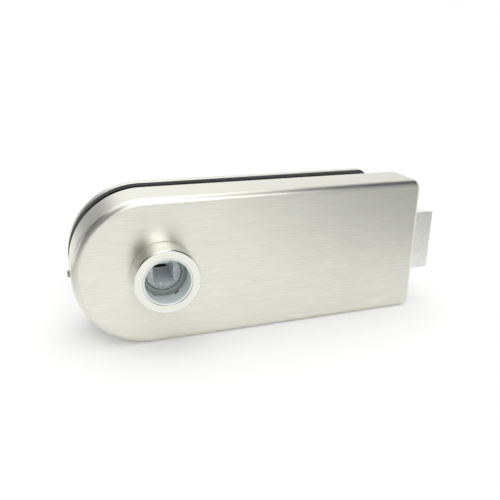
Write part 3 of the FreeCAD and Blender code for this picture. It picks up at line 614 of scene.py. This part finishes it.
def plate_steel(colours):
    """Zinc-plated sheet with a faint rolled grain."""
    return worn_metal("plate_steel", colours.plate, grain_size=2.5, rough=0.34,
                      darker=0.82, depth=0.01, streak=18)


def follower_zinc(colours):
    """Rough cast zinc, mottled."""
    return worn_metal("follower_zinc", colours.zinc, grain_size=0.9, rough=0.38,
                      darker=0.45, depth=0.09, metallic=0.5)


def broached_square(colours):
    """Cut metal of the square hole, made near white and bluish as painted light coming through the
    hole, with the marks that the broach left.
    """
    return worn_metal("broached_square", colours.square_painted_light, grain_size=1.1, rough=0.45,
                      darker=0.7, depth=0.04, metallic=0.1)


def bolt_metal(colours):
    """Satin metal, brushed along the bolt's way."""
    return worn_metal("bolt_metal", colours.bolt, grain_size=1.6, rough=0.34,
                      darker=0.9, depth=0.008, streak=8)


def spring_steel(colours):
    """Drawn wire and strip."""
    return worn_metal("spring_steel", colours.spring, grain_size=0.4, rough=0.3,
                      darker=0.75, depth=0.01)


def dark_screw(colours):
    """Grey steel, lighter in spots where it is rubbed."""
    return worn_metal("dark_screw", colours.dark_screw, grain_size=0.5, rough=0.4,
                      darker=2.4, depth=0.02)


def screw_steel(colours):
    """Zinc-plated fasteners."""
    return worn_metal("screw_steel", colours.screw, grain_size=0.6, rough=0.3,
                      darker=0.8, depth=0.01)


FINISHES = {make.__name__: make for make in (
    brushed_cover, cut_rim, collar_metal, collar_inside, collar_bore, liner_plastic,
    gasket_rubber, sleeve_nylon, guide_nylon, plate_steel, follower_zinc, broached_square,
    bolt_metal, spring_steel, dark_screw, screw_steel,
)}


def finish_of(slot):
    """Returns the material of a slot, made once."""
    return bpy.data.materials.get(slot) or FINISHES[slot](bpy.context.scene.latch_colours)


# Materials that came with the frame give way to the finishes of the same names.
for imported in list(bpy.data.materials):
    imported.name = f"frame_{imported.name}"


# ---------------------------------------------------------------- pieces

# A cover's rim looks straight out, and a wall of the square hole looks sideways.
RIM_NORMAL = 0.9
HOLE_WALL_NORMAL = 0.5
# Gap round the set screw in the front cover.
SCREW_GAP = 0.05 * MM
# How deep below a collar's rim its dull inside begins.
INSIDE_DEPTH = 0.12 * MM
# How much the edges of the liners and the follower are eased.
LINER_EASE = 0.12 * MM
FOLLOWER_EASE = 0.2 * MM


def case_ring(form, node, sizes, inset, y):
    """Adds a cover's outline, drawn in by an inset, as a ring of points at one depth."""
    left, right = low(node, "X"), high(node, "X")
    half = high(node, "Z")
    corner = sizes.corner_radius
    small = corner - inset
    arcs = (
        (left + half, 0, half - inset, 90, 180, ROUND_END_STEPS),
        (right - corner, corner - half, small, 270, 90, CORNER_STEPS),
        (right - corner, half - corner, small, 0, 90, CORNER_STEPS),
    )
    ring = []
    for centre_x, centre_z, radius, start, sweep, steps in arcs:
        for step in range(steps + 1):
            angle = math.radians(start + sweep * step / steps)
            x = centre_x + radius * math.cos(angle)
            z = centre_z + radius * math.sin(angle)
            ring.append(form.verts.new((x, y, z)))
    return ring


def cover_mesh(node, sizes, face_y, rim_y, face_wall, edge):
    """Makes a drawn cover: a rounded edge, straight sides, an open rim and the spigot's hole."""
    inward = 1 if rim_y > face_y else -1
    deep = abs(rim_y - face_y)
    wall, bevel = sizes.cover_wall, sizes.rim_bevel
    rows = [(edge + bevel * 2, 0)]
    for step in range(EDGE_STEPS + 1):
        turn = math.pi / 2 * step / EDGE_STEPS
        rows.append((edge * (1 - math.sin(turn)), edge * (1 - math.cos(turn))))
    rows += [
        (0, edge + bevel * 2),
        (0, deep - bevel * 3),
        (0, deep - bevel),
        (bevel, deep),
        (wall - bevel, deep),
        (wall, deep - bevel),
        (wall, deep - bevel * 3),
        (wall, face_wall),
    ]
    form = bmesh.new()
    rings = [case_ring(form, node, sizes, inset, face_y + inward * depth) for inset, depth in rows]
    for first, second in zip(rings, rings[1:]):
        bridge(form, first, second)
    holes = []
    radius = sizes.spigot_radius
    turns = [2 * math.pi * step / TURNED_STEPS for step in range(TURNED_STEPS)]
    for depth in (0, face_wall):
        y = face_y + inward * depth
        holes.append([form.verts.new((radius * math.cos(turn), y, radius * math.sin(turn)))
                      for turn in turns])
    bridge(form, *holes)
    for ring, hole in ((rings[0], holes[0]), (rings[-1], holes[1])):
        edges = ring_edges(form, ring) + ring_edges(form, hole)
        bmesh.ops.triangle_fill(form, use_beauty=True, use_dissolve=False, edges=edges)
    return finish_mesh(form, "cover")


class LATCH_OT_covers(bpy.types.Operator):
    """Makes the two drawn covers, with the bolt's window and the set screw's hole in the front one"""
    bl_idname = "latch.covers"
    bl_label = "Covers"

    def execute(self, context):
        sizes = context.scene.latch_sizes
        front = cover_mesh("front_cover", sizes, low("front_cover", "Y"), high("front_cover", "Y"),
                           sizes.front_wall, sizes.edge_round)
        bolt_low, bolt_high = (Vector(corner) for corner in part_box("latch_bolt"))
        gap, wall = sizes.window_gap, sizes.cover_wall
        right = high("front_cover", "X")
        window = block_mesh((right - wall - CUT_PAST, bolt_low.y - gap, bolt_low.z - gap),
                            (right + CUT_PAST, bolt_high.y + gap, bolt_high.z + gap))
        screw_low, screw_high = (Vector(corner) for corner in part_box("cover_set_screw"))
        radius = (screw_high.z - screw_low.z) / 2 + SCREW_GAP
        left = low("front_cover", "X")
        ends = (left - CUT_PAST, left + wall + CUT_PAST)
        hole_rows = [(ends[0], 0), (ends[0], radius), (ends[1], radius), (ends[1], 0)]
        centre = Vector((0, (screw_low.y + screw_high.y) / 2, 0))
        hole = turned_mesh("hole", hole_rows, "X", centre, SCREW_STEPS, False)
        front = cut_mesh(front, [window, hole])
        back_wall = high("back_cover", "Y") - high("counter_plate", "Y")
        back = cover_mesh("back_cover", sizes, high("back_cover", "Y"), low("back_cover", "Y"),
                          back_wall, sizes.back_edge_round)
        for node, mesh, rim_y, facing in (
            ("front_cover", front, high("front_cover", "Y"), 1),
            ("back_cover", back, low("back_cover", "Y"), -1),
        ):
            lay_brush(mesh)
            new_piece(f"{node}_shell", mesh, node, "brushed_cover")
            mesh.materials.append(finish_of("cut_rim"))
            # The rims' faces get the dull rim material, darkened as painted shade for the gap between
            # the covers.
            for patch in mesh.polygons:
                at_rim = abs(patch.center.y - rim_y) < sizes.rim_bevel / 4
                if at_rim and patch.normal.y * facing > RIM_NORMAL:
                    patch.material_index = 1
        return {"FINISHED"}


class LATCH_OT_collars(bpy.types.Operator):
    """Makes the two turned collars and their plastic liners"""
    bl_idname = "latch.collars"
    bl_label = "Collars and liners"

    def execute(self, context):
        sizes = context.scene.latch_sizes
        ends = {
            "front": (low("front_cover", "Y"), low("front_collar", "Y"), high("front_collar", "Y")),
            "back": (high("back_cover", "Y"), high("back_collar", "Y"), low("back_collar", "Y")),
        }
        for side, (face, end, inner_end) in ends.items():
            way = 1 if end > face else -1
            rim = high(f"{side}_collar", "X")
            chamfer = sizes.collar_chamfer
            corners = [
                (inner_end, sizes.collar_throat),
                (inner_end, sizes.spigot_radius),
                (face, sizes.spigot_radius),
                (face, rim - sizes.collar_relief),
                (face + way * sizes.collar_relief, rim - sizes.collar_relief),
                (face + way * sizes.collar_relief, rim),
                (end - way * chamfer, rim),
                (end, rim - chamfer),
                (end, sizes.collar_bore),
                (face + way * sizes.collar_ledge, sizes.collar_bore),
                (face + way * sizes.collar_ledge, sizes.collar_throat),
            ]
            rows = softened(corners, sizes.turned_round)
            mesh = turned_mesh(f"{side}_collar", rows, "Y", Vector(), TURNED_STEPS, True)
            new_piece(f"{side}_collar_turned", mesh, f"{side}_collar", "collar_metal")
            mesh.materials.append(finish_of("collar_inside"))
            mesh.materials.append(finish_of("collar_bore"))
            # Faces deep in the bore get the near-black painted shade; the ledge and throat get the dull
            # inside.
            for patch in mesh.polygons:
                depth = abs(patch.center.y - end)
                radius = math.hypot(patch.center.x, patch.center.z)
                if radius < sizes.collar_bore + sizes.turned_round / 2 and depth > INSIDE_DEPTH:
                    in_bore = depth < abs(end - face) - sizes.collar_ledge - sizes.turned_round
                    patch.material_index = 2 if in_bore else 1
            mesh = eased_mesh(f"{side}_liner", LINER_EASE)
            new_piece(f"{side}_liner_moulded", mesh, f"{side}_liner", "liner_plastic")
        return {"FINISHED"}


class LATCH_OT_follower(bpy.types.Operator):
    """Makes the cast follower with its square hole and two horns"""
    bl_idname = "latch.follower"
    bl_label = "Follower"

    def execute(self, context):
        sizes = context.scene.latch_sizes
        mesh = eased_mesh("follower", FOLLOWER_EASE)
        new_piece("follower_cast", mesh, "follower", "follower_zinc")
        mesh.materials.append(finish_of("broached_square"))
        # The square hole's walls get the painted light.
        for patch in mesh.polygons:
            in_square = max(abs(patch.center.x), abs(patch.center.z)) < sizes.half_square
            if in_square and abs(patch.normal.y) < HOLE_WALL_NORMAL:
                patch.material_index = 1
        return {"FINISHED"}


class LATCH_OT_bolt(bpy.types.Operator):
    """Makes the bevelled bolt, its tail and the nylon guide"""
    bl_idname = "latch.bolt"
    bl_label = "Bolt"

    def execute(self, context):
        for node, name, ease, slot in (
            ("latch_bolt", "latch_bolt_head", 0.3, "bolt_metal"),
            ("bolt_tail", "bolt_tail_strip", 0.2, "plate_steel"),
            ("bolt_guide", "bolt_guide_block", 0.3, "guide_nylon"),
        ):
            new_piece(name, eased_mesh(node, ease * MM), node, slot)
        return {"FINISHED"}


# Turns of a coil that lie close together at each end.
CLOSE_TURNS = 1


def coil_mesh(node, wire, turns):
    """Winds a coil spring in the space of the CAD spring, with close turns at both ends."""
    start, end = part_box(node)
    centre = (Vector(start) + Vector(end)) / 2
    radius = (end[2] - start[2]) / 2 - wire / 2
    reach = end[0] - start[0] - wire
    free_turns = turns - 2 * CLOSE_TURNS
    pitch = (reach - 2 * CLOSE_TURNS * wire) / free_turns
    form = bmesh.new()
    rings = []
    for step in range(turns * COIL_STEPS + 1):
        turn = step / COIL_STEPS
        free = min(max(turn - CLOSE_TURNS, 0), free_turns)
        close = min(turn, CLOSE_TURNS) + max(turn - (turns - CLOSE_TURNS), 0)
        along = start[0] + wire / 2 + free * pitch + close * wire
        angle = 2 * math.pi * turn
        outward = Vector((0, math.cos(angle), math.sin(angle)))
        middle = Vector((along, centre.y, centre.z)) + outward * radius
        ring = []
        for side in range(WIRE_STEPS):
            tilt = 2 * math.pi * side / WIRE_STEPS
            offset = outward * math.cos(tilt) + Vector((1, 0, 0)) * math.sin(tilt)
            ring.append(form.verts.new(middle + offset * wire / 2))
        rings.append(ring)
    for first, second in zip(rings, rings[1:]):
        bridge(form, first, second)
    form.faces.new(rings[0])
    form.faces.new(rings[-1])
    return finish_mesh(form, node)


class LATCH_OT_springs(bpy.types.Operator):
    """Winds the return spring and the two bolt springs"""
    bl_idname = "latch.springs"
    bl_label = "Springs"

    def execute(self, context):
        sizes = context.scene.latch_sizes
        for node, joint, wire, turns in (
            ("return_spring", "carriage_slide", sizes.return_wire, 14),
            ("bolt_spring_1", "bolt_slide", sizes.bolt_wire, 15),
            ("bolt_spring_2", "bolt_slide", sizes.bolt_wire, 15),
        ):
            mesh = coil_mesh(node, wire, turns)
            piece = new_piece(f"{node}_coil", mesh, node, "spring_steel")
            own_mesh(piece)
        return {"FINISHED"}


# A thread's depth as a share of its pitch, and the rows of points along one pitch.
THREAD_DEPTH = 0.55
ROWS_PER_PITCH = 6
# A screw's bevels, the neck under its head and its tip, as shares of its radius.
BEVEL_SHARE, NECK_SHARE, TIP_SHARE = 0.1, 0.9, 0.78
# The hexagon sockets of the screws: half the width across flats, and the depth.
CLAMP_SOCKET = (2 * MM, 1.4 * MM)
SET_SOCKET = (0.75 * MM, 1.5 * MM)
# Rounding of the sleeves' ends.
SLEEVE_ROUND = 0.3 * MM


def hexagon(flat_to_middle):
    """Returns the radius of a hexagon socket at an angle."""
    return lambda angle: flat_to_middle / math.cos(angle % (math.pi / 3) - math.pi / 6)


def thread(radius, pitch, place, way):
    """Returns the radius of a helical thread at an angle, at a place along the screw."""
    def at(angle):
        phase = (way * place / pitch - angle / (2 * math.pi)) % 1
        return radius - pitch * THREAD_DEPTH * (1 - abs(2 * phase - 1))
    return at


def screw_rows(start, end, head, head_radius, radius, pitch, socket, depth):
    """Returns a screw's outline from head to tip: a hexagon socket, a head and a thread."""
    way = 1 if end > start else -1
    bevel = min(radius, head_radius) * BEVEL_SHARE
    bottom = start + way * depth
    rows = [(bottom, 0), (bottom, hexagon(socket)), (start, hexagon(socket))]
    rows += [(start, head_radius - bevel), (start + way * bevel, head_radius)]
    if head:
        rows += [(start + way * head, head_radius), (start + way * head, radius * NECK_SHARE)]
    first = start + way * (head or bevel)
    count = math.ceil(abs(end - first) / (pitch / ROWS_PER_PITCH))
    for step in range(count + 1):
        place = first + (end - way * bevel - first) * step / count
        rows.append((place, thread(radius, pitch, place, way)))
    rows += [(end, radius * TIP_SHARE), (end, 0)]
    return rows


class LATCH_OT_fasteners(bpy.types.Operator):
    """Makes the clamp screws, the nylon sleeves round them and the set screw"""
    bl_idname = "latch.fasteners"
    bl_label = "Screws and sleeves"

    def execute(self, context):
        sizes = context.scene.latch_sizes
        for number in (1, 2, 3):
            node = f"clamp_screw_{number}"
            start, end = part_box(node)
            centre = Vector(((start[0] + end[0]) / 2, 0, 0))
            head_radius = (end[0] - start[0]) / 2
            rows = screw_rows(end[1], start[1], sizes.clamp_head, head_radius,
                              sizes.clamp_thread, sizes.clamp_pitch, *CLAMP_SOCKET)
            mesh = turned_mesh(node, rows, "Y", centre, SCREW_STEPS, False)
            new_piece(f"{node}_threaded", mesh, node, "screw_steel")
            node = f"glass_sleeve_{number}"
            start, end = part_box(node)
            outer = (end[0] - start[0]) / 2
            inner = sizes.sleeve_bore
            corners = [(start[1], inner), (start[1], outer), (end[1], outer), (end[1], inner)]
            rows = softened(corners, SLEEVE_ROUND)
            mesh = turned_mesh(node, rows, "Y", centre, SCREW_STEPS * 2, True)
            new_piece(f"{node}_round", mesh, node, "sleeve_nylon")
        start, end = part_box("cover_set_screw")
        radius = (end[2] - start[2]) / 2
        rows = screw_rows(start[0], end[0], 0, radius, radius, sizes.set_pitch, *SET_SOCKET)
        centre = Vector((0, (start[1] + end[1]) / 2, 0))
        mesh = turned_mesh("cover_set_screw", rows, "X", centre, SCREW_STEPS, False)
        new_piece("cover_set_screw_threaded", mesh, "cover_set_screw", "dark_screw")
        return {"FINISHED"}


class LATCH_OT_plates(bpy.types.Operator):
    """Gives the plates, gaskets, rails, clips and carriage of the frame their finishes"""
    bl_idname = "latch.plates"
    bl_label = "Plates and gaskets"

    def execute(self, context):
        slots = {part["node"]: part["material_slot"] for part in frame["record"]["subparts"]}
        for node, thing in frame["nodes"].items():
            paint = finish_of(slots[node])
            if not thing.material_slots:
                raise RuntimeError(f"{node} has no material slot")
            for place in thing.material_slots:
                place.material = paint
        return {"FINISHED"}


# ---------------------------------------------------------------- stage

# The darker parts of the white room, which the metal reflects: the grey front wall, its dark left
# corner, a grey part of the back wall, and dark parts high up at the left and right. Each has the
# way to it, the cosines at which it starts and is full, and its colour.
WALL_GREY = (0.38, 0.385, 0.39)
DARK_ENDS = (
    ((0.0, -1.0, 0.0), 0.05, 0.55, WALL_GREY),
    ((-0.40, -0.91, 0.05), 0.60, 0.97, (0.05, 0.05, 0.05)),
    ((-0.60, 0.78, 0.15), 0.83, 0.93, (0.42, 0.42, 0.43)),
    ((-0.68, -0.14, 0.72), 0.80, 0.92, (0.08, 0.08, 0.08)),
    ((0.65, -0.22, 0.73), 0.83, 0.93, (0.02, 0.025, 0.04)),
)
# Painted shade on the floor: where it turns greyer, the middle of each patch, and how far its grey and
# its edge reach.
FLOOR_GREY = (0.33, 0.335, 0.34)
GREY_PATCHES = (
    ((0.28, -0.23, 0), 0.08, 0.24),
    ((-0.23, -0.03, 0), 0.03, 0.17),
)
# Towards the front, the floor fades to the wall's grey between these two distances, as painted shade.
FAR_FRONT = (0.22, 0.7)
# The floor's half width, and how much of its own colour it shows without light.
FLOOR_REACH = 3
FLOOR_CELLS = 8
FLOOR_GLOW = 0.02
# The soft lights: name, strength, width in degrees and where each comes from.
SOFT_LIGHTS = (
    ("light_above", 0.8, 60, (-0.10, 0.0, 0.80)),
    ("light_front", 0.65, 36, (0.08, -0.75, 0.45)),
)
ROOM_LIGHT = 0.7
# The camera: its place, its turn to the right, its tilt down and its roll in degrees, and its lens.
CAMERA_PLACE = (-0.0353, -0.23905, 0.08742)
CAMERA_TURN = 20.64
CAMERA_TILT = 21.48
CAMERA_ROLL = 1.257
LENS = 41.384
SENSOR_WIDTH = 36
SHIFT_X, SHIFT_Y = -0.0405, 0.0362
NEAREST_SEEN = 0.01


def background_mask(tree):
    """Returns 1 where the camera, a reflection or a view through glass sees the background."""
    path = tree.nodes.new("ShaderNodeLightPath")
    seen = add_math(tree, "MAXIMUM", path.outputs["Is Camera Ray"], path.outputs["Is Glossy Ray"])
    return add_math(tree, "MAXIMUM", seen, path.outputs["Is Transmission Ray"])


def toward(tree, place, way, start, end):
    """Returns 0 to 1 as a place or direction goes from start to end along a way."""
    along = tree.nodes.new("ShaderNodeVectorMath")
    along.operation = "DOT_PRODUCT"
    along.inputs[1].default_value = way
    tree.links.new(place, along.inputs[0])
    mask = span(tree, along.outputs["Value"], start, end)
    mask.node.interpolation_type = "SMOOTHSTEP"
    return mask


def floor_paint():
    """White paper that keeps the latch's shadow, with painted shade: two greyer patches and a grey far
    front.
    """
    paint = bpy.data.materials.new("white_paper")
    paint.use_nodes = True
    tree = paint.node_tree
    tree.nodes.clear()
    place = tree.nodes.new("ShaderNodeTexCoord").outputs["Object"]
    # Painted shade: the far front and the two patches turn the paper grey.
    far_front = toward(tree, place, (0, -1, 0), *FAR_FRONT)
    shade = blend_colours(tree, far_front, (1, 1, 1), WALL_GREY)
    for centre, near, far in GREY_PATCHES:
        away = tree.nodes.new("ShaderNodeVectorMath")
        away.operation = "DISTANCE"
        away.inputs[1].default_value = centre
        tree.links.new(place, away.inputs[0])
        patch = span(tree, away.outputs["Value"], near, far)
        patch.node.interpolation_type = "SMOOTHSTEP"
        shade = blend_colours(tree, patch, FLOOR_GREY, shade)
    matt = tree.nodes.new("ShaderNodeBsdfDiffuse")
    tree.links.new(shade, matt.inputs["Color"])
    glow = tree.nodes.new("ShaderNodeEmission")
    tree.links.new(shade, glow.inputs["Color"])
    mix = tree.nodes.new("ShaderNodeMixShader")
    tree.links.new(add_math(tree, "MULTIPLY", background_mask(tree), FLOOR_GLOW), mix.inputs[0])
    tree.links.new(matt.outputs[0], mix.inputs[1])
    tree.links.new(glow.outputs[0], mix.inputs[2])
    result = tree.nodes.new("ShaderNodeOutputMaterial")
    tree.links.new(mix.outputs[0], result.inputs["Surface"])
    return paint


def studio_world():
    """A white room with plain soft light and some darker parts."""
    world = bpy.data.worlds.new("studio")
    world.use_nodes = True
    tree = world.node_tree
    tree.nodes.clear()
    heading = tree.nodes.new("ShaderNodeTexCoord").outputs["Generated"]
    shade = (1, 1, 1)
    for way, start, end, dark in DARK_ENDS:
        shade = blend_colours(tree, toward(tree, heading, way, start, end), shade, dark)
    seen = tree.nodes.new("ShaderNodeBackground")
    tree.links.new(shade, seen.inputs["Color"])
    lit = tree.nodes.new("ShaderNodeBackground")
    lit.inputs["Color"].default_value = (1, 1, 1, 1)
    lit.inputs["Strength"].default_value = ROOM_LIGHT
    mix = tree.nodes.new("ShaderNodeMixShader")
    tree.links.new(background_mask(tree), mix.inputs[0])
    tree.links.new(lit.outputs[0], mix.inputs[1])
    tree.links.new(seen.outputs[0], mix.inputs[2])
    result = tree.nodes.new("ShaderNodeOutputWorld")
    tree.links.new(mix.outputs[0], result.inputs["Surface"])
    return world


class LATCH_OT_stage(bpy.types.Operator):
    """Lays the floor and sets the soft lights, the camera and the room"""
    bl_idname = "latch.stage"
    bl_label = "Stage"

    def execute(self, context):
        scene = context.scene
        form = bmesh.new()
        bmesh.ops.create_grid(form, x_segments=FLOOR_CELLS, y_segments=FLOOR_CELLS, size=FLOOR_REACH)
        floor = bpy.data.objects.new("floor", finish_mesh(form, "floor"))
        floor.location.z = CAD_BOX[0][2]
        floor.data.materials.append(floor_paint())
        scene.collection.objects.link(floor)

        for name, strength, spread, place in SOFT_LIGHTS:
            lamp = bpy.data.lights.new(name, "SUN")
            lamp.energy = strength
            lamp.angle = math.radians(spread)
            holder = bpy.data.objects.new(name, lamp)
            holder.location = place
            holder.rotation_euler = (-holder.location).to_track_quat("-Z", "Y").to_euler()
            scene.collection.objects.link(holder)

        lens = bpy.data.cameras.new("camera")
        lens.lens = LENS
        lens.sensor_width = SENSOR_WIDTH
        lens.shift_x = SHIFT_X
        lens.shift_y = SHIFT_Y
        lens.clip_start = NEAREST_SEEN
        camera = bpy.data.objects.new("camera", lens)
        camera.location = CAMERA_PLACE
        heading = Matrix.Rotation(math.radians(-CAMERA_TURN), 3, "Z")
        tilt = Matrix.Rotation(math.radians(90 - CAMERA_TILT), 3, "X")
        roll = Matrix.Rotation(math.radians(CAMERA_ROLL), 3, "Z")
        camera.rotation_euler = (heading @ tilt @ roll).to_euler()
        scene.collection.objects.link(camera)
        scene.camera = camera
        scene.world = studio_world()
        scene.view_settings.view_transform = "Standard"
        return {"FINISHED"}


# ---------------------------------------------------------------- add-on

OPERATORS = (
    LATCH_OT_covers,
    LATCH_OT_collars,
    LATCH_OT_follower,
    LATCH_OT_bolt,
    LATCH_OT_springs,
    LATCH_OT_fasteners,
    LATCH_OT_plates,
    LATCH_OT_stage,
)


class LATCH_PT_panel(bpy.types.Panel):
    """Lists the pieces, their sizes and their colours"""
    bl_idname = "LATCH_PT_panel"
    bl_label = "Glass door latch"
    bl_space_type = "VIEW_3D"
    bl_region_type = "UI"
    bl_category = "Latch"

    def draw(self, context):
        for operator in OPERATORS:
            self.layout.operator(operator.bl_idname)
        for group in (context.scene.latch_sizes, context.scene.latch_colours):
            box = self.layout.box()
            for name in group.bl_rna.properties.keys():
                if name not in ("rna_type", "name"):
                    box.prop(group, name)


CLASSES = (LatchSizes, LatchColours, *OPERATORS, LATCH_PT_panel)


def register():
    for kind in CLASSES:
        bpy.utils.register_class(kind)
    bpy.types.Scene.latch_sizes = bpy.props.PointerProperty(type=LatchSizes)
    bpy.types.Scene.latch_colours = bpy.props.PointerProperty(type=LatchColours)


def unregister():
    del bpy.types.Scene.latch_sizes
    del bpy.types.Scene.latch_colours
    for kind in reversed(CLASSES):
        bpy.utils.unregister_class(kind)


def main():
    """Makes the pieces in order."""
    register()
    bpy.ops.latch.covers()
    bpy.ops.latch.collars()
    bpy.ops.latch.follower()
    bpy.ops.latch.bolt()
    bpy.ops.latch.springs()
    bpy.ops.latch.fasteners()
    bpy.ops.latch.plates()
    bpy.ops.latch.stage()


if __name__ == "__main__":
    main()
